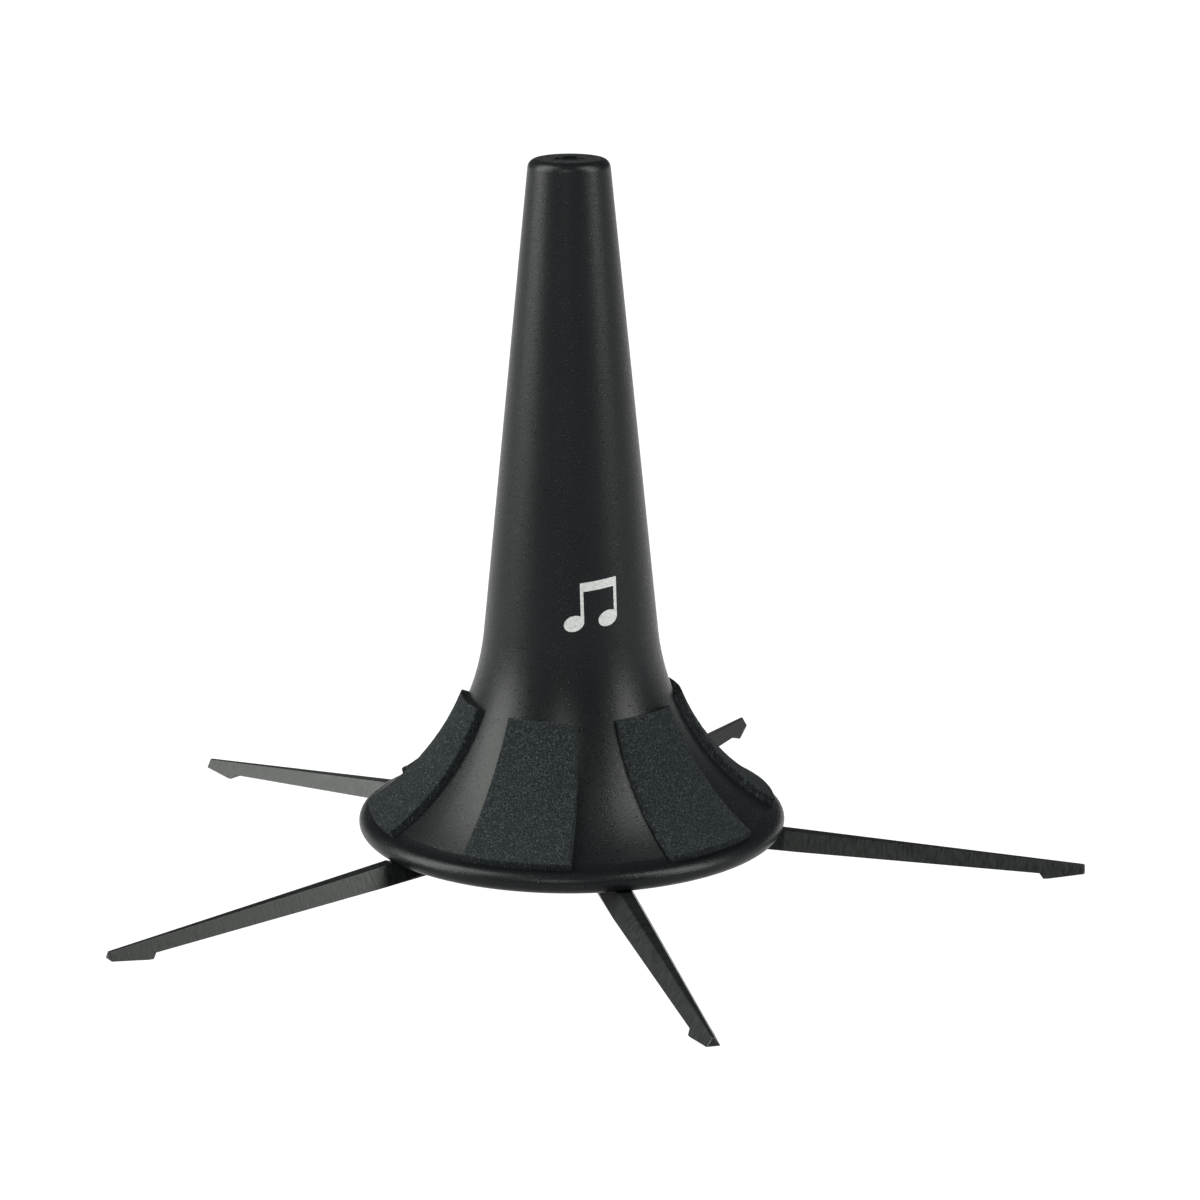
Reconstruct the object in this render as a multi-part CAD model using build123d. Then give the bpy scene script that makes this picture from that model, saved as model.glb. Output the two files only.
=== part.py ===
from build123d import *
import os
from math import acos, atan, cos, radians, sin

# In-bell trumpet stand: a hollow flared cone that sits on a base with five folding legs.
# Millimetres, +Z up. The origin is on the ground, below the cone's axis, and the first leg
# points along -Y. Outlines of turned parts are drawn as (radius, z).

# ---- Cone ------------------------------------------------------------------------------
height = 188.2
top_radius = 10.33  # where the straight taper would meet the top face
taper = 0.1005  # growth of the radius per mm of drop
wall = 2.5
top_wall = 3.0
top_edge_round = 2.4
gate_recess_radius = 3.8  # shallow moulding recess in the middle of the top face
gate_recess_depth = 0.5

rim_radius = 56.0  # outermost radius of the rolled rim
bead_radius = 2.73
bead_centre_z = 14.1
flare_end_angle = radians(56.2)  # steepness of the flare, from the vertical, where it ends
blend_radius = 7.9  # arc that turns the flare into the rim's bead
blend_end_angle = radians(79.0)

# ---- Felt pads -------------------------------------------------------------------------
pad_count = 6
pad_first_azimuth = 30.0  # degrees round from the first leg
pad_thickness = 2.1
pad_top_angle = radians(21.6)  # steepness of the flare where a pad starts
pad_end_angle = radians(72)  # steepness of the blend where a pad ends
pad_top_width = 17.8
pad_bottom_width = 27.8

# ---- Legs ------------------------------------------------------------------------------
# A leg is a wedge: flat on top, with sides that spread downwards, and slimmer towards its tip.
leg_count = 5
leg_end_radius = 134.9  # from the stand's axis to the tip of a leg
leg_line_radius = 60.0  # radius at which the heights and half widths below are given
leg_top_z = 11.19
leg_top_slope = 0.107  # drop per mm outwards
leg_bottom_z = 6.53
leg_bottom_slope = 0.0839
leg_top_half = 1.52  # half the width along the top
leg_top_narrowing = 0.0163  # loss of that per mm outwards
leg_bottom_half = 4.39
leg_bottom_narrowing = 0.0303
leg_max_half = 4.4  # nearer the pivot a leg gets no wider
root_edge_round = 0.35
tip_edge_round = 0.45
shoulder_radius = 54.0  # the top drops here, to pass below the rim
shoulder_length = 1.5
shoulder_z = 11.1
root_slope = 0.0938
heel_radius = 123.9
heel_step = 1.0  # length of the sloping step above the heel
heel_length = 1.2
sole_end_z = 1.0  # height of the sole's end above the ground
end_edge_round = 0.5

# ---- Base ------------------------------------------------------------------------------
pivot_radius = 14.0
pivot_z = 12.1
pin_radius = 1.25
pin_length = 13.0
pin_clearance = 0.05  # running fit of the pin in the leg, on the radius
leg_gap = 0.35  # space round a leg in its channel
disc_radius = 50.1
disc_plate = 2.4
seat_gap = 0.3  # between the disc's seat and the inside of the flare
seat_inner_radius = 44.5
seat_width = 2.2
hub_radius = 19.0
cap_bottom_z = 8.3
channel_start = 10.3  # inner end of the leg channels
rib_thickness = 1.8
rib_bottom_z = 9.4
rib_outer_radius = 38.0
rib_end_radius = 46.0
boss_radius = 7.0
boss_top_z = 21.0
screw_radius = 2.0
screw_head_radius = 3.9
screw_head_depth = 2.0
screw_top_z = 19.0
screw_slot_width = 1.0
screw_slot_length = 4.4
screw_slot_depth = 1.1
ring_section_radius = 1.0
ring_radius = 49.35
ring_z = 13.5

# ---- Derived geometry of the flare -------------------------------------------------------
# Angles are the steepness of the outline from the vertical. The flare's arc starts tangent
# to the taper and ends tangent to the blend, which ends tangent to the bead, so the arc's
# radius and start follow from the rim.
taper_angle = atan(taper)
bead_centre_r = rim_radius - bead_radius
turn_r = cos(taper_angle) - cos(flare_end_angle)
turn_z = sin(flare_end_angle) - sin(taper_angle)
flare_end_r = (bead_centre_r + bead_radius * cos(blend_end_angle)
               - blend_radius * (cos(flare_end_angle) - cos(blend_end_angle)))
flare_end_z = (bead_centre_z + bead_radius * sin(blend_end_angle)
               + blend_radius * (sin(blend_end_angle) - sin(flare_end_angle)))
flare_radius = ((flare_end_r - top_radius - taper * (height - flare_end_z))
                / (turn_r - taper * turn_z))
flare_centre = (flare_end_r + flare_radius * cos(flare_end_angle),
                flare_end_z + flare_radius * sin(flare_end_angle))
blend_centre = (flare_end_r + blend_radius * cos(flare_end_angle),
                flare_end_z + blend_radius * sin(flare_end_angle))


def flat(r, z):
    """A point of an outline, in the plane that is turned about the stand's axis."""
    return Vector(r, 0, z)


def on_arc(centre, radius, angle, offset):
    """A point on a hollow arc of the outline, offset outwards."""
    reach = radius - offset
    return flat(centre[0] - reach * cos(angle), centre[1] - reach * sin(angle))


def on_flare(angle, offset=0.0):
    return on_arc(flare_centre, flare_radius, angle, offset)


def on_blend(angle, offset=0.0):
    return on_arc(blend_centre, blend_radius, angle, offset)


def arc(point, start, end, offset=0.0):
    """The stretch of the flare or the blend between two angles."""
    middle = (start + end) / 2
    return ThreePointArc(point(start, offset), point(middle, offset), point(end, offset))


def chain(*points):
    """Straight edges from point to point."""
    return [Line(a, b) for a, b in zip(points, points[1:])]


def turned(edges):
    """The solid of revolution of a closed outline."""
    return revolve(make_face(edges), Axis.Z, 360)


def at_leg(shape, index):
    """A copy of the first leg's shape, turned to the place of another leg."""
    return Rot(0, 0, index * 360 / leg_count) * shape


def side_plate(points, half_width):
    """A plate that stands on edge under the first leg, outlined by (radius, z) points."""
    outline = Polyline(*[(0, -r, z) for r, z in points], close=True)
    return extrude(make_face(outline), half_width, dir=(1, 0, 0), both=True)


def leg_top(r):
    return leg_top_z - leg_top_slope * (r - leg_line_radius)


def leg_bottom(r):
    return leg_bottom_z - leg_bottom_slope * (r - leg_line_radius)


def root_top(r):
    """The top of a leg's inner stretch, below the base."""
    return shoulder_z - root_slope * (r - shoulder_radius)


def ceiling(r):
    """The underside of the base above a leg."""
    return root_top(r) + leg_gap


# ---- Pieces ----------------------------------------------------------------------------
def make_cone_shell():
    inner_top_z = height - top_wall
    inner_top_r = top_radius + taper * top_wall - wall / cos(taper_angle)
    # The inner wall meets the bead at this angle, by the law of cosines.
    to_bead, to_wall = blend_radius + bead_radius, blend_radius + wall
    opening = acos((to_bead**2 + to_wall**2 - bead_radius**2) / (2 * to_bead * to_wall))
    lip_angle = blend_end_angle - opening
    bead = ThreePointArc(on_blend(blend_end_angle), flat(bead_centre_r, bead_centre_z - bead_radius),
                         on_blend(lip_angle, -wall))
    outline = [
        *chain(flat(0, height), flat(top_radius, height), on_flare(taper_angle)),
        arc(on_flare, taper_angle, flare_end_angle),
        arc(on_blend, flare_end_angle, blend_end_angle),
        bead,
        arc(on_blend, lip_angle, flare_end_angle, -wall),
        arc(on_flare, flare_end_angle, taper_angle, -wall),
        *chain(on_flare(taper_angle, -wall), flat(inner_top_r, inner_top_z), flat(0, inner_top_z),
               flat(0, height)),
    ]
    shell = turned(outline)
    top_edge = shell.edges().filter_by(GeomType.CIRCLE).sort_by(Axis.Z)[-1]
    shell = fillet(top_edge, top_edge_round)
    recess = Pos(0, 0, height) * Cylinder(gate_recess_radius, 2 * gate_recess_depth)
    return shell - recess


def make_felt_pads():
    """Curved trapezoids of felt that follow the flare and end on the blend."""
    top, bottom = on_flare(pad_top_angle), on_flare(flare_end_angle)
    band = turned([
        arc(on_flare, pad_top_angle, flare_end_angle),
        arc(on_blend, flare_end_angle, pad_end_angle),
        Line(on_blend(pad_end_angle), on_blend(pad_end_angle, pad_thickness)),
        arc(on_blend, pad_end_angle, flare_end_angle, pad_thickness),
        arc(on_flare, flare_end_angle, pad_top_angle, pad_thickness),
        Line(on_flare(pad_top_angle, pad_thickness), top),
    ])
    run = bottom - top
    grow = (pad_bottom_width - pad_top_width) / 2
    spare = 0.25  # the trapezoid runs on past both ends of the band by this share
    corners = []
    for share in (-spare, 1 + spare):
        half = pad_top_width / 2 + grow * share
        centre = top + run * share
        corners.append([centre + Vector(0, side * half, 0) for side in (-1, 1)])
    (a, b), (c, d) = corners
    wedge = extrude(make_face(Polyline(a, b, d, c, close=True)), 12, both=True)
    pad = band & wedge
    first = pad_first_azimuth - 90  # a pad is cut where it crosses +X, and the first leg is at -Y
    return [Rot(0, 0, first + i * 360 / pad_count) * pad for i in range(pad_count)]


def leg_section(r, edge_round):
    """The wedge of a leg across its length, drawn down to just below the ground."""
    top, bottom = leg_top(r), leg_bottom(r)
    narrow = leg_top_half - leg_top_narrowing * (r - leg_line_radius)
    wide = leg_bottom_half - leg_bottom_narrowing * (r - leg_line_radius)
    floor = -1.0
    foot = narrow + (wide - narrow) * (top - floor) / (top - bottom)
    outline = make_face(Polyline((-foot, floor), (foot, floor), (narrow, top), (-narrow, top), close=True))
    outline = fillet(outline.vertices().sort_by(Axis.Y)[-2:], edge_round)
    return Plane((0, -r, 0), x_dir=(1, 0, 0), z_dir=(0, -1, 0)) * outline


def make_leg():
    """One leg, with its eye on the pivot."""
    over = 20.0
    profile = [
        (pivot_radius, leg_bottom(pivot_radius)),
        (heel_radius - heel_step, leg_bottom(heel_radius - heel_step)),
        (heel_radius, 0),
        (heel_radius + heel_length, 0),
        (leg_end_radius, sole_end_z),
        (leg_end_radius, over),
        (shoulder_radius + shoulder_length, over),
        (shoulder_radius + shoulder_length, leg_top(shoulder_radius + shoulder_length)),
        (shoulder_radius, shoulder_z),
        (pivot_radius, root_top(pivot_radius)),
    ]
    wedge = loft([leg_section(pivot_radius - 1, root_edge_round),
                  leg_section(leg_end_radius + 1, tip_edge_round)], ruled=True)
    leg = wedge & side_plate(profile, leg_max_half)
    leg = fillet(leg.faces().sort_by(Axis.Y)[0].edges(), end_edge_round)
    eye_radius = (root_top(pivot_radius) - pivot_z) * cos(atan(root_slope))
    leg += Pos(0, -pivot_radius, pivot_z) * Rot(0, 90, 0) * Cylinder(eye_radius, 2 * leg_max_half)
    return leg - make_pin(pin_radius + pin_clearance)


def make_pin(radius):
    return Pos(0, -pivot_radius, pivot_z) * Rot(0, 90, 0) * Cylinder(radius, pin_length)


def make_leg_channel():
    """The space that a leg needs below the base, from its eye outwards."""
    far = rim_radius
    points = [(channel_start, 0), (far, 0), (far, ceiling(far)), (channel_start, ceiling(channel_start))]
    return side_plate(points, leg_max_half + leg_gap)


def make_channel_ribs():
    """The two ribs that guide a leg, one on each side."""
    buried = disc_plate / 2
    clear_of_cap = hub_radius + leg_gap
    points = [
        (hub_radius - 1, pivot_z),
        (clear_of_cap, pivot_z),
        (clear_of_cap, rib_bottom_z),
        (rib_outer_radius, rib_bottom_z),
        (rib_end_radius, ceiling(rib_end_radius)),
        (rib_end_radius, ceiling(rib_end_radius) + buried),
        (hub_radius - 1, ceiling(hub_radius - 1) + buried),
    ]
    return side_plate(points, leg_max_half + leg_gap + rib_thickness)


def make_base_disc():
    """The plate that carries the cone on its raised seat and the legs under its ribs."""
    seat_angle = acos((flare_centre[0] - seat_inner_radius) / (flare_radius + wall + seat_gap))
    offset = -(wall + seat_gap)
    seat_top = on_flare(seat_angle, offset)
    seat_foot_r = seat_inner_radius - seat_width
    edge_point = on_flare(flare_end_angle, offset)
    plate = turned([
        *chain(flat(0, ceiling(0)), flat(disc_radius, ceiling(disc_radius)),
               flat(disc_radius, edge_point.Z - (disc_radius - edge_point.X)), edge_point),
        arc(on_flare, flare_end_angle, seat_angle, offset),
        *chain(seat_top, flat(seat_foot_r, seat_top.Z),
               flat(seat_foot_r, ceiling(seat_foot_r) + disc_plate),
               flat(boss_radius, ceiling(boss_radius) + disc_plate),
               flat(boss_radius, boss_top_z), flat(0, boss_top_z), flat(0, ceiling(0))),
    ])
    hub = turned(chain(flat(0, pivot_z), flat(hub_radius, pivot_z),
                       flat(hub_radius, ceiling(hub_radius) + disc_plate / 2),
                       flat(0, ceiling(0) + disc_plate / 2), flat(0, pivot_z)))
    base = plate + hub
    for i in range(leg_count):
        base += at_leg(make_channel_ribs(), i)
    for i in range(leg_count):
        base -= at_leg(make_leg_channel(), i)
        base -= at_leg(make_pin(pin_radius), i)
    return base - make_hub_screw(with_slot=False) - make_grip_ring()


def make_hub_cap():
    """The star-shaped plate that closes the hub from below and clamps the pins."""
    thickness = pivot_z - cap_bottom_z
    cap = Pos(0, 0, cap_bottom_z + thickness / 2) * Cylinder(hub_radius, thickness)
    lower_edge = cap.edges().sort_by(Axis.Z)[0]
    cap = chamfer(lower_edge, 0.8)
    for i in range(leg_count):
        cap -= at_leg(make_leg_channel(), i)
        cap -= at_leg(make_pin(pin_radius), i)
    return cap - make_hub_screw(with_slot=False)


def make_hub_screw(with_slot=True):
    """Countersunk screw, driven from below."""
    head_top_z = cap_bottom_z + screw_head_depth
    screw = turned(chain(flat(0, cap_bottom_z), flat(screw_head_radius, cap_bottom_z),
                         flat(screw_radius, head_top_z), flat(screw_radius, screw_top_z),
                         flat(0, screw_top_z), flat(0, cap_bottom_z)))
    if not with_slot:
        return screw
    for turn in (0, 90):
        slot = Box(screw_slot_length, screw_slot_width, 2 * screw_slot_depth)
        screw -= Pos(0, 0, cap_bottom_z) * Rot(0, 0, turn) * slot
    return screw


def make_grip_ring():
    """Rubber ring in the edge of the base disc."""
    return Pos(0, 0, ring_z) * Torus(ring_radius, ring_section_radius)


# ---- Assembly --------------------------------------------------------------------------
pieces = {
    "cone_shell": make_cone_shell(),
    "base_disc": make_base_disc(),
    "hub_cap": make_hub_cap(),
    "hub_screw": make_hub_screw(),
    "grip_ring": make_grip_ring(),
}
for i, pad in enumerate(make_felt_pads()):
    pieces[f"felt_pad_{i + 1}"] = pad
leg, pin = make_leg(), make_pin(pin_radius)
for i in range(leg_count):
    pieces[f"leg_{i + 1}"] = at_leg(leg, i)
    pieces[f"leg_pin_{i + 1}"] = at_leg(pin, i)

os.makedirs("parts", exist_ok=True)
for name, solid in pieces.items():
    export_step(solid, f"parts/{name}.step")
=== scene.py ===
import math

import bpy
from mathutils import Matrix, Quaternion, Vector, noise


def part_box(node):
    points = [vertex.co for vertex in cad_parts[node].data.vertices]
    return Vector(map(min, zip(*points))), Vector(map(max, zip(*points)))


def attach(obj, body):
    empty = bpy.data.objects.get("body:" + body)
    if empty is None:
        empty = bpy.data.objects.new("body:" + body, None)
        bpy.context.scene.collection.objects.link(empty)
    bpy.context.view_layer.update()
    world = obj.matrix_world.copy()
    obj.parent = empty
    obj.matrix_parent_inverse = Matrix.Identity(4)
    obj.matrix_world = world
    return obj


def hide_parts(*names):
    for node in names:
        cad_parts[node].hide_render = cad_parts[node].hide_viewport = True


# An in-bell trumpet stand: a black moulded cone with six felt pads on a base with five folding
# legs. Metres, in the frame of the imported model: +Z up, the first leg points along -Y.

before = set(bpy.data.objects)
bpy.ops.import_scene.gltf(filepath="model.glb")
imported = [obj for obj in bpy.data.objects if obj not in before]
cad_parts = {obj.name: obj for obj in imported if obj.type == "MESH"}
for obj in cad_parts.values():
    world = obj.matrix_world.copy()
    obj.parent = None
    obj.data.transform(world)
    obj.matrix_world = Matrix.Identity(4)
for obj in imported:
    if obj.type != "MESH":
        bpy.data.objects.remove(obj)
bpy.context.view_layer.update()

MM = 0.001
_, cone_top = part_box("cone_shell")
HEIGHT = cone_top.z

# ---- Camera ----------------------------------------------------------------------------
CAMERA_AZIMUTH = math.radians(-14.45)
CAMERA_ELEVATION = math.radians(15.056)
CAMERA_DISTANCE = 0.9844
CAMERA_TARGET = Vector((0.0073, -0.0019, 0.0730))
CAMERA_ROLL = math.radians(-0.134)
CAMERA_LENS = 113.72
CAMERA_SENSOR = 36.0


def direction(azimuth, elevation):
    """Unit vector; the azimuth is measured from -Y, towards +X."""
    return Vector((
        math.sin(azimuth) * math.cos(elevation),
        -math.cos(azimuth) * math.cos(elevation),
        math.sin(elevation),
    ))


def make_camera():
    data = bpy.data.cameras.new("camera")
    data.lens = CAMERA_LENS
    data.sensor_width = CAMERA_SENSOR
    data.clip_start, data.clip_end = 0.05, 50.0
    camera = bpy.data.objects.new("camera", data)
    bpy.context.scene.collection.objects.link(camera)
    back = direction(CAMERA_AZIMUTH, CAMERA_ELEVATION)
    camera.location = CAMERA_TARGET + back * CAMERA_DISTANCE
    camera.rotation_mode = "QUATERNION"
    camera.rotation_quaternion = Quaternion(back, CAMERA_ROLL) @ back.to_track_quat("Z", "Y")
    bpy.context.scene.camera = camera


make_camera()

# ---- Studio ----------------------------------------------------------------------------
scene = bpy.context.scene
scene.view_settings.view_transform = "Standard"
scene.view_settings.look = "None"


FLOOR_SIZE = 24.0
FLOOR_DROP = 0.0001
FLOOR_WHITE = 0.03  # share of the floor that is white; the rest of it is clear


def make_floor():
    """A pale light table: it lets the light below it through and takes only faint shadows."""
    bpy.ops.mesh.primitive_plane_add(size=FLOOR_SIZE, location=(0, 0, -FLOOR_DROP))
    floor = bpy.context.object
    floor.name = "floor"
    material = bpy.data.materials.new("floor")
    material.use_nodes = True
    nodes, links = material.node_tree.nodes, material.node_tree.links
    nodes.remove(nodes["Principled BSDF"])
    clear = nodes.new("ShaderNodeBsdfTransparent")
    white = nodes.new("ShaderNodeBsdfDiffuse")
    white.inputs["Color"].default_value = (0.9, 0.9, 0.9, 1)
    mix = nodes.new("ShaderNodeMixShader")
    mix.inputs["Fac"].default_value = FLOOR_WHITE
    links.new(clear.outputs[0], mix.inputs[1])
    links.new(white.outputs[0], mix.inputs[2])
    links.new(mix.outputs[0], nodes["Material Output"].inputs["Surface"])
    floor.data.materials.append(material)


# The world from straight down (0) over the horizon (0.5) to straight up (1), as (height, grey).
WORLD_LEVELS = [(0.49, 1.15), (0.51, 0.5), (0.56, 0.14), (0.66, 0.08)]


def make_world():
    """White below the horizon, for the light table, and a dim room above it."""
    world = bpy.data.worlds.new("studio")
    world.use_nodes = True
    nodes, links = world.node_tree.nodes, world.node_tree.links
    place = nodes.new("ShaderNodeTexCoord")
    split = nodes.new("ShaderNodeSeparateXYZ")
    links.new(place.outputs["Generated"], split.inputs[0])
    height = nodes.new("ShaderNodeMapRange")
    height.inputs["From Min"].default_value = -1.0
    links.new(split.outputs["Z"], height.inputs["Value"])
    stops = [(spot, (grey,) * 3) for spot, grey in WORLD_LEVELS]
    shade = ramp_node(nodes, links, height.outputs[0], stops)
    links.new(shade, nodes["Background"].inputs["Color"])
    scene.world = world


def make_softbox(name, azimuth, elevation, distance, size, radiance):
    """A soft light that faces the middle of the cone: degrees, metres, and radiance."""
    data = bpy.data.lights.new(name, "AREA")
    data.color = (0.97, 1.0, 0.95)
    data.shape = "RECTANGLE"
    data.size, data.size_y = size
    data.energy = radiance * math.pi * size[0] * size[1]
    light = bpy.data.objects.new(name, data)
    light.visible_camera = False
    scene.collection.objects.link(light)
    towards = direction(math.radians(azimuth), math.radians(elevation))
    light.location = Vector((0, 0, HEIGHT / 2)) + towards * distance
    light.rotation_mode = "QUATERNION"
    light.rotation_quaternion = towards.to_track_quat("Z", "Y")


# ---- Materials -------------------------------------------------------------------------
def new_material(name):
    """A principled material, with object coordinates ready to map."""
    material = bpy.data.materials.new(name)
    material.use_nodes = True
    nodes, links = material.node_tree.nodes, material.node_tree.links
    shader = nodes["Principled BSDF"]
    coordinates = nodes.new("ShaderNodeTexCoord")
    return material, nodes, links, shader, coordinates.outputs["Object"]


def mapped(nodes, links, place, rotation, scale):
    mapping = nodes.new("ShaderNodeMapping")
    mapping.inputs["Rotation"].default_value = rotation
    mapping.inputs["Scale"].default_value = scale
    links.new(place, mapping.inputs["Vector"])
    return mapping.outputs["Vector"]


def noise_node(nodes, links, place, scale, detail=2.0, rough=0.5):
    node = nodes.new("ShaderNodeTexNoise")
    node.inputs["Scale"].default_value = scale
    node.inputs["Detail"].default_value = detail
    node.inputs["Roughness"].default_value = rough
    links.new(place, node.inputs["Vector"])
    return node.outputs["Fac"]


def ramp_node(nodes, links, value, stops):
    node = nodes.new("ShaderNodeValToRGB")
    ramp = node.color_ramp
    while len(ramp.elements) < len(stops):
        ramp.elements.new(0.5)
    for element, (position, colour) in zip(ramp.elements, stops):
        element.position = position
        element.color = (*colour, 1)
    links.new(value, node.inputs["Fac"])
    return node.outputs["Color"]


def grey_ramp(nodes, links, value, low, high, start=0.3, end=0.7):
    return ramp_node(nodes, links, value, [(start, (low,) * 3), (end, (high,) * 3)])


def bump_node(nodes, links, height, distance, strength=1.0, normal=None):
    node = nodes.new("ShaderNodeBump")
    node.inputs["Distance"].default_value = distance
    node.inputs["Strength"].default_value = strength
    links.new(height, node.inputs["Height"])
    if normal is not None:
        links.new(normal, node.inputs["Normal"])
    return node.outputs["Normal"]


def cone_plastic():
    """Black moulded plastic with a fine spark-eroded grain, some of whose pits glint."""
    material, nodes, links, shader, place = new_material("cone_plastic")
    tone = noise_node(nodes, links, place, 30.0, 3.0)
    shades = [(0.3, (0.0022, 0.0027, 0.0034)), (0.7, (0.0032, 0.0039, 0.0047))]
    links.new(ramp_node(nodes, links, tone, shades), shader.inputs["Base Color"])
    cells = nodes.new("ShaderNodeTexVoronoi")
    cells.inputs["Scale"].default_value = 3000.0
    links.new(place, cells.inputs["Vector"])
    pick = nodes.new("ShaderNodeSeparateColor")
    links.new(cells.outputs["Color"], pick.inputs[0])
    facet = grey_ramp(nodes, links, pick.outputs["Red"], 0.0, 1.0, 0.86, 0.92)
    links.new(grey_ramp(nodes, links, facet, 0.37, 0.2, 0.0, 1.0), shader.inputs["Roughness"])
    shader.inputs["Specular IOR Level"].default_value = 0.17
    pit = nodes.new("ShaderNodeMath")
    pit.operation = "MULTIPLY"
    links.new(cells.outputs["Distance"], pit.inputs[0])
    links.new(facet, pit.inputs[1])
    grain = noise_node(nodes, links, place, 2600.0, 1.0)
    fine = bump_node(nodes, links, grain, 0.00003, 1.0)
    links.new(bump_node(nodes, links, pit.outputs[0], 0.00005, 1.0, fine), shader.inputs["Normal"])
    return material


def base_plastic():
    """Black moulded plastic, smooth."""
    material, nodes, links, shader, place = new_material("base_plastic")
    tone = noise_node(nodes, links, place, 60.0, 3.0)
    shades = [(0.3, (0.009, 0.009, 0.01)), (0.7, (0.013, 0.013, 0.014))]
    links.new(ramp_node(nodes, links, tone, shades), shader.inputs["Base Color"])
    flow = noise_node(nodes, links, place, 220.0, 2.0)
    links.new(grey_ramp(nodes, links, flow, 0.33, 0.45), shader.inputs["Roughness"])
    links.new(bump_node(nodes, links, flow, 0.00003, 0.5), shader.inputs["Normal"])
    shader.inputs["Specular IOR Level"].default_value = 0.25
    return material


def leg_coat():
    """Satin coat over a cast leg, finished across its length with a fine abrasive."""
    material, nodes, links, shader, place = new_material("leg_coat")
    split = nodes.new("ShaderNodeSeparateXYZ")
    links.new(place, split.inputs[0])
    level = nodes.new("ShaderNodeCombineXYZ")
    links.new(split.outputs["X"], level.inputs["X"])
    links.new(split.outputs["Y"], level.inputs["Y"])
    reach = nodes.new("ShaderNodeVectorMath")
    reach.operation = "LENGTH"
    links.new(level.outputs[0], reach.inputs[0])
    along = nodes.new("ShaderNodeCombineXYZ")
    links.new(reach.outputs["Value"], along.inputs["X"])
    links.new(split.outputs["Z"], along.inputs["Y"])
    grid = mapped(nodes, links, along.outputs[0], (0, 0, 0.12), (1500, 350, 1))
    strokes = noise_node(nodes, links, grid, 1.0, 3.0, 0.65)
    shades = [(0.35, (0.002, 0.0028, 0.0025)), (0.65, (0.0062, 0.0078, 0.007))]
    links.new(ramp_node(nodes, links, strokes, shades), shader.inputs["Base Color"])
    links.new(grey_ramp(nodes, links, strokes, 0.3, 0.46, 0.35, 0.65), shader.inputs["Roughness"])
    links.new(bump_node(nodes, links, strokes, 0.00005, 0.8), shader.inputs["Normal"])
    shader.inputs["Specular IOR Level"].default_value = 0.26
    return material


def felt():
    """Dense needled felt: dark, with lighter fibres lying in all directions."""
    material, nodes, links, shader, place = new_material("felt")
    lays = [((0.3, 0.2, 0.4), (2900, 2900, 700)), ((1.1, 0.5, 1.7), (2900, 640, 2900))]
    layers = [noise_node(nodes, links, mapped(nodes, links, place, turn, scale), 1.0, 2.0, 0.6)
              for turn, scale in lays]
    fibres = nodes.new("ShaderNodeMath")
    fibres.operation = "MAXIMUM"
    links.new(layers[0], fibres.inputs[0])
    links.new(layers[1], fibres.inputs[1])
    colour = ramp_node(nodes, links, fibres.outputs[0], [
        (0.46, (0.0046, 0.0056, 0.0062)),
        (0.6, (0.012, 0.0145, 0.0155)),
        (0.76, (0.052, 0.062, 0.066)),
    ])
    links.new(colour, shader.inputs["Base Color"])
    shader.inputs["Roughness"].default_value = 0.95
    shader.inputs["Specular IOR Level"].default_value = 0.1
    links.new(bump_node(nodes, links, fibres.outputs[0], 0.00025, 0.9), shader.inputs["Normal"])
    return material


def rubber():
    """Soft black rubber."""
    material, nodes, links, shader, place = new_material("ring_rubber")
    tone = noise_node(nodes, links, place, 300.0, 2.0)
    links.new(grey_ramp(nodes, links, tone, 0.008, 0.014), shader.inputs["Base Color"])
    shader.inputs["Roughness"].default_value = 0.75
    links.new(bump_node(nodes, links, tone, 0.00005, 0.4), shader.inputs["Normal"])
    return material


def steel(name, dark, light, roughness):
    """Drawn or blackened steel, between two greys."""
    material, nodes, links, shader, place = new_material(name)
    tone = noise_node(nodes, links, place, 1200.0, 2.0)
    links.new(grey_ramp(nodes, links, tone, dark, light), shader.inputs["Base Color"])
    shader.inputs["Metallic"].default_value = 1.0
    shader.inputs["Roughness"].default_value = roughness
    links.new(bump_node(nodes, links, tone, 0.00002, 0.4), shader.inputs["Normal"])
    return material


def print_ink():
    """Light grey pad-printed ink."""
    material, nodes, links, shader, place = new_material("print_ink")
    tone = noise_node(nodes, links, place, 1500.0, 2.0)
    links.new(grey_ramp(nodes, links, tone, 0.3, 0.42), shader.inputs["Base Color"])
    shader.inputs["Roughness"].default_value = 0.6
    shader.inputs["Specular IOR Level"].default_value = 0.2
    links.new(bump_node(nodes, links, tone, 0.00003, 0.4), shader.inputs["Normal"])
    return material


make_world()
make_floor()
make_softbox("left", -98, 32, 1.3, (0.85, 1.5), 11.0)
make_softbox("right", 54, 34, 1.3, (0.45, 1.4), 14.0)
make_softbox("front", -24, 30, 1.4, (0.2, 0.3), 32.0)


def paint(node, material):
    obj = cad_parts[node]
    if not obj.material_slots:
        obj.data.materials.append(material)
    for item in obj.material_slots:
        item.material = material


PLASTIC, BASE, COAT, FELT = cone_plastic(), base_plastic(), leg_coat(), felt()
RUBBER, INK = rubber(), print_ink()
PIN_STEEL = steel("pin_steel", 0.5, 0.6, 0.3)
SCREW_STEEL = steel("screw_steel", 0.05, 0.08, 0.4)
finishes = {
    "cone_shell": PLASTIC, "base_disc": BASE, "hub_cap": BASE,
    "grip_ring": RUBBER, "hub_screw": SCREW_STEEL,
}
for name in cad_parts:
    if name.startswith("leg_pin_"):
        paint(name, PIN_STEEL)
    elif name.startswith("leg_"):
        paint(name, COAT)
    elif not name.startswith("felt"):
        paint(name, finishes[name])

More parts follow.
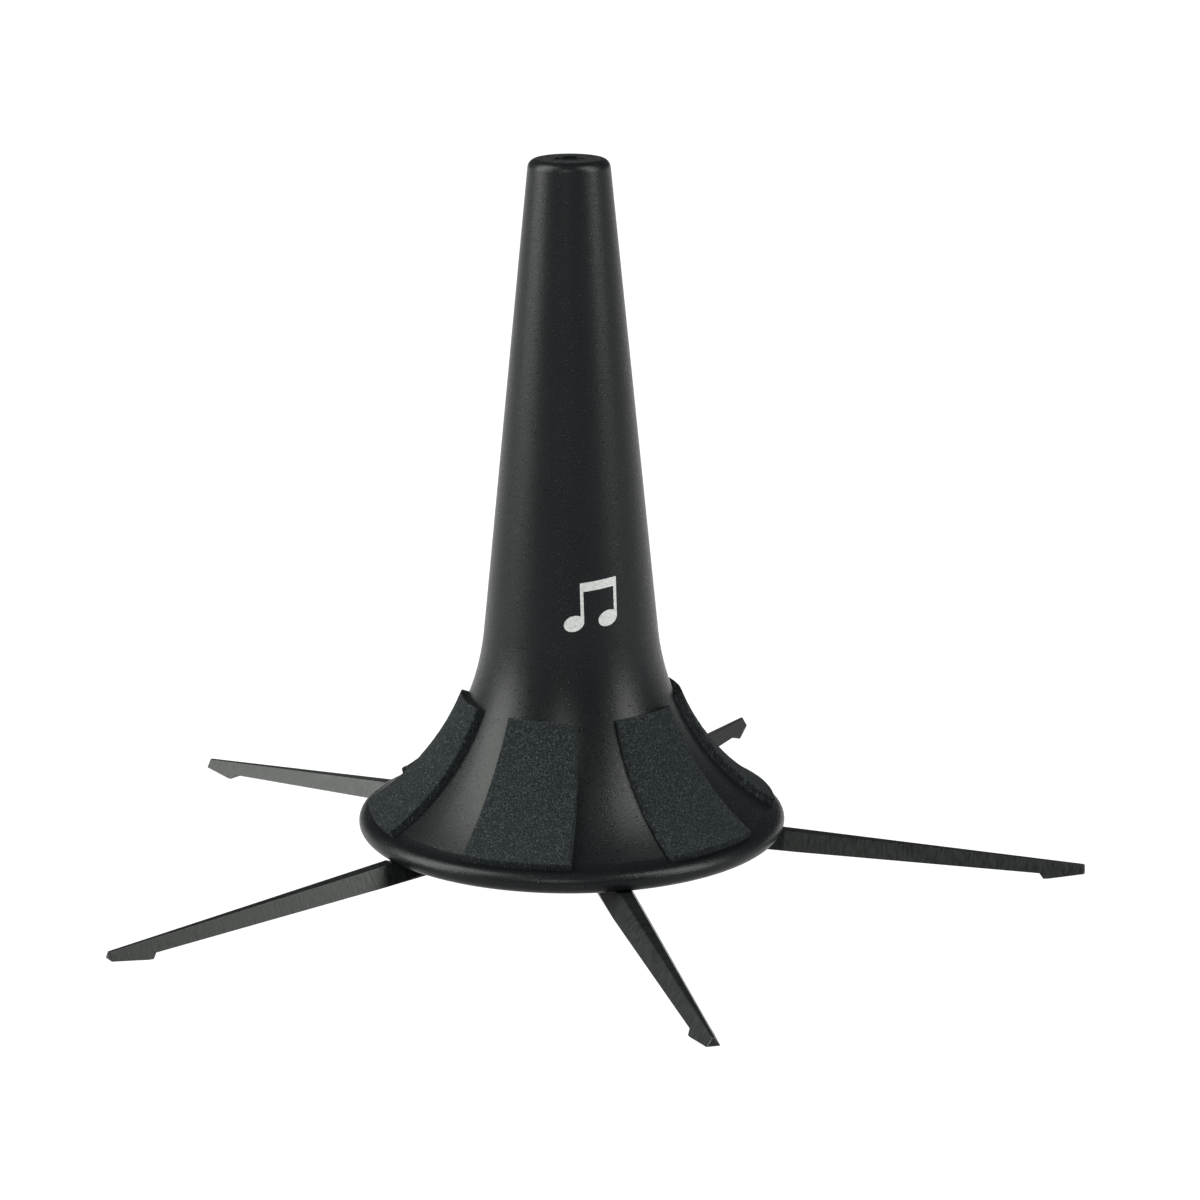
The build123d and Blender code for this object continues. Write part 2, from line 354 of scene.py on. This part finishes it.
# ---- Felt pads -------------------------------------------------------------------------
# The outline under a pad is two arcs, in mm as (radius, z): the flare, then the blend into the
# rim. The angles are the steepness of the outline from the vertical.
FLARE_CENTRE, FLARE_RADIUS = (86.645, 71.360), 64.249
BLEND_CENTRE, BLEND_RADIUS = (55.299, 24.535), 7.9
PAD_TOP, FLARE_END, PAD_END = math.radians(21.6), math.radians(56.2), math.radians(72)
PAD_TOP_WIDTH, PAD_LOW_WIDTH = 17.8, 27.8
PAD_THICKNESS = 2.1
PAD_FIRST, PAD_COUNT = 30.0, 6
FLARE_LENGTH = FLARE_RADIUS * (FLARE_END - PAD_TOP)
PAD_LENGTH = FLARE_LENGTH + BLEND_RADIUS * (PAD_END - FLARE_END)
PAD_COLUMNS, PAD_ROWS = 84, 124
PAD_UNDER = 0.01  # gap between the felt and the cone
EDGE_ROUND = 0.45  # how far in from a cut the felt is rounded
EDGE_SHARE, SWELL_SHARE = 0.9, 0.08  # of the thickness: at a cut, and gained away from it
FIBRE_RISE, FIBRE_GRID = 0.06, 0.9  # height, and steps of the noise per mm
LUMP_RISE, LUMP_GRID, LUMP_SEED = 0.05, 0.13, 40
RAGGED_EDGE, RAGGED_GRID = 0.06, 1.5


def outline_point(down, lift):
    """(radius, z) at a distance down the pad, lifted off the cone."""
    if down <= FLARE_LENGTH:
        centre, radius, angle = FLARE_CENTRE, FLARE_RADIUS, PAD_TOP + down / FLARE_RADIUS
    else:
        centre, radius = BLEND_CENTRE, BLEND_RADIUS
        angle = FLARE_END + (down - FLARE_LENGTH) / BLEND_RADIUS
    reach = radius - lift
    return centre[0] - reach * math.cos(angle), centre[1] - reach * math.sin(angle)


def pad_half_width(down):
    """Half the width of the pad, which grows along the straight line down its middle."""
    top, low = outline_point(0, 0), outline_point(FLARE_LENGTH, 0)
    run = (low[0] - top[0], low[1] - top[1])
    spot = outline_point(down, 0)
    gone = (spot[0] - top[0]) * run[0] + (spot[1] - top[1]) * run[1]
    share = gone / (run[0] ** 2 + run[1] ** 2)
    return (PAD_TOP_WIDTH + (PAD_LOW_WIDTH - PAD_TOP_WIDTH) * share) / 2


def pad_lift(from_edge, across, down, seed):
    """Height of the felt over the cone: crisp where it was cut, and uneven with its fibres."""
    rise = min(from_edge / EDGE_ROUND, 1.0)
    rounded = math.sqrt(max(0.0, 1 - (1 - rise) ** 2))
    fibres = noise.noise(Vector((across * FIBRE_GRID, down * FIBRE_GRID, seed)))
    lumps = noise.noise(Vector((across * LUMP_GRID, down * LUMP_GRID, seed + LUMP_SEED)))
    body = PAD_THICKNESS * (EDGE_SHARE + SWELL_SHARE * rounded)
    return body + FIBRE_RISE * fibres + LUMP_RISE * lumps


def make_pad(index):
    """One felt pad: a top and an underside on the same grid, joined round the rim."""
    seed = 7.0 + 11.0 * index
    verts, faces = [], []
    turn = Quaternion((0, 0, 1), math.radians(PAD_FIRST + index * 360 / PAD_COUNT))

    def add_grid(is_top):
        first = len(verts)
        for row in range(PAD_ROWS + 1):
            down = PAD_LENGTH * row / PAD_ROWS
            ragged = RAGGED_EDGE * noise.noise(Vector((down * RAGGED_GRID, seed, 3.0)))
            half = pad_half_width(down)
            for column in range(PAD_COLUMNS + 1):
                u = 2 * column / PAD_COLUMNS - 1
                across = u * (half + ragged)
                edge = min((1 - abs(u)) * half, down, PAD_LENGTH - down)
                lift = pad_lift(edge, across, down, seed) if is_top else PAD_UNDER
                r, z = outline_point(down, lift)
                verts.append(turn @ Vector((across, -math.sqrt(r * r - across * across), z)) * MM)
        return first

    def corner(first, column, row):
        return first + row * (PAD_COLUMNS + 1) + column

    top, under = add_grid(True), add_grid(False)
    for row in range(PAD_ROWS):
        for column in range(PAD_COLUMNS):
            ring = [(column, row), (column + 1, row), (column + 1, row + 1), (column, row + 1)]
            faces.append([corner(top, *spot) for spot in reversed(ring)])
            faces.append([corner(under, *spot) for spot in ring])
    rim = [(column, 0) for column in range(PAD_COLUMNS)]
    rim += [(PAD_COLUMNS, row) for row in range(PAD_ROWS)]
    rim += [(column, PAD_ROWS) for column in range(PAD_COLUMNS, 0, -1)]
    rim += [(0, row) for row in range(PAD_ROWS, 0, -1)]
    smooth = [True] * len(faces)
    for a, b in zip(rim, rim[1:] + rim[:1]):
        faces.append([corner(top, *a), corner(top, *b), corner(under, *b), corner(under, *a)])
        smooth.append(False)
    mesh = bpy.data.meshes.new(f"felt_{index + 1}")
    mesh.from_pydata(verts, [], faces)
    mesh.polygons.foreach_set("use_smooth", smooth)
    mesh.materials.append(FELT)
    pad = bpy.data.objects.new(f"felt_{index + 1}", mesh)
    scene.collection.objects.link(pad)
    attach(pad, "cone")
    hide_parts(f"felt_pad_{index + 1}")


for index in range(PAD_COUNT):
    make_pad(index)

# ---- Printed mark ----------------------------------------------------------------------
# Two beamed notes, on the side of the first leg. Drawn in mm on the unrolled cone.
MARK_CENTRE_Z = 77.6 * MM
MARK_CELL = 0.22
MARK_HALF = 8.4
MARK_LIFT, MARK_UNDER = 0.04 * MM, 0.005 * MM
MARK_PROBE = 0.02  # half the step over which the slope of to_mark is measured
NOTE_HEADS = ((-4.6, -5.0), (4.4, -4.0))
HEAD_HALF = (2.7, 1.95)
HEAD_TURN = math.radians(22)
STEM_HALF = 0.42
STEM_TOPS = (5.3, 6.3)
BEAM_HALF = 1.15


def to_box(x, y, centre_x, centre_y, half_x, half_y):
    dx, dy = abs(x - centre_x) - half_x, abs(y - centre_y) - half_y
    return math.hypot(max(dx, 0), max(dy, 0)) + min(max(dx, dy), 0)


def to_mark(x, y):
    """Signed distance to the outline of the mark, negative inside."""
    nearest = 99.0
    stems = []
    for (head_x, head_y), top in zip(NOTE_HEADS, STEM_TOPS):
        dx, dy = x - head_x, y - head_y
        along = dx * math.cos(HEAD_TURN) + dy * math.sin(HEAD_TURN)
        aside = dy * math.cos(HEAD_TURN) - dx * math.sin(HEAD_TURN)
        reach = math.hypot(along / HEAD_HALF[0], aside / HEAD_HALF[1])
        nearest = min(nearest, (reach - 1) * HEAD_HALF[1])
        stem_x = head_x + HEAD_HALF[0] - STEM_HALF - 0.1
        stems.append(stem_x)
        stem_y, stem_reach = (head_y + top) / 2, (top - head_y) / 2
        nearest = min(nearest, to_box(x, y, stem_x, stem_y, STEM_HALF, stem_reach))
    slope = (STEM_TOPS[1] - STEM_TOPS[0]) / (stems[1] - stems[0])
    middle = sum(stems) / 2
    level = y - slope * (x - middle)
    half = (stems[1] - stems[0]) / 2 + STEM_HALF
    beam_y = sum(STEM_TOPS) / 2 - BEAM_HALF + 0.05
    return min(nearest, to_box(x, level, middle, beam_y, half, BEAM_HALF))


def onto_outline(x, y):
    """Moves a point that is near the outline of the mark onto it."""
    for _ in range(3):
        gap = to_mark(x, y)
        slope_x = (to_mark(x + MARK_PROBE, y) - to_mark(x - MARK_PROBE, y)) / (2 * MARK_PROBE)
        slope_y = (to_mark(x, y + MARK_PROBE) - to_mark(x, y - MARK_PROBE)) / (2 * MARK_PROBE)
        size = max(math.hypot(slope_x, slope_y), 0.3)
        move = max(-0.5 * MARK_CELL, min(0.5 * MARK_CELL, gap / size))
        x, y = x - move * slope_x / size, y - move * slope_y / size
    return x, y


def on_cone(across, z, lift):
    """A point over the straight part of the cone, across being measured round it."""
    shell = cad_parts["cone_shell"]
    _, place, _, _ = shell.ray_cast(Vector((0, -0.2, z)), Vector((0, 1, 0)))
    r = -place.y + lift
    turn = across / r
    return Vector((r * math.sin(turn), -r * math.cos(turn), z))


def make_mark():
    """A thin film of ink that follows the cone."""
    count = int(2 * MARK_HALF / MARK_CELL)
    grid = [-MARK_HALF + MARK_CELL * i for i in range(count + 1)]
    numbers, filled, cells = {}, {}, []
    for i in range(count):
        for j in range(count):
            if to_mark(grid[i] + MARK_CELL / 2, grid[j] + MARK_CELL / 2) < 0:
                ring = [(i, j), (i + 1, j), (i + 1, j + 1), (i, j + 1)]
                cells.append(ring)
                for spot in ring:
                    numbers.setdefault(spot, len(numbers))
                    filled[spot] = filled.get(spot, 0) + 1
    flat = []
    for i, j in numbers:
        inside = filled[i, j] == 4
        flat.append((grid[i], grid[j]) if inside else onto_outline(grid[i], grid[j]))
    verts = [on_cone(x * MM, MARK_CENTRE_Z + y * MM, lift)
             for lift in (MARK_LIFT, MARK_UNDER) for x, y in flat]
    below = len(flat)
    polygons, edges = [], {}
    for ring in cells:
        loop = [numbers[spot] for spot in ring]
        polygons.append(loop)
        polygons.append([v + below for v in reversed(loop)])
        edges.update(dict.fromkeys(zip(loop, loop[1:] + loop[:1])))
    for a, b in edges:
        if (b, a) not in edges:
            polygons.append([b, a, a + below, b + below])
    mesh = bpy.data.meshes.new("printed_mark")
    mesh.from_pydata(verts, [], polygons)
    mesh.materials.append(INK)
    mark = bpy.data.objects.new("printed_mark", mesh)
    scene.collection.objects.link(mark)
    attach(mark, "cone")


make_mark()
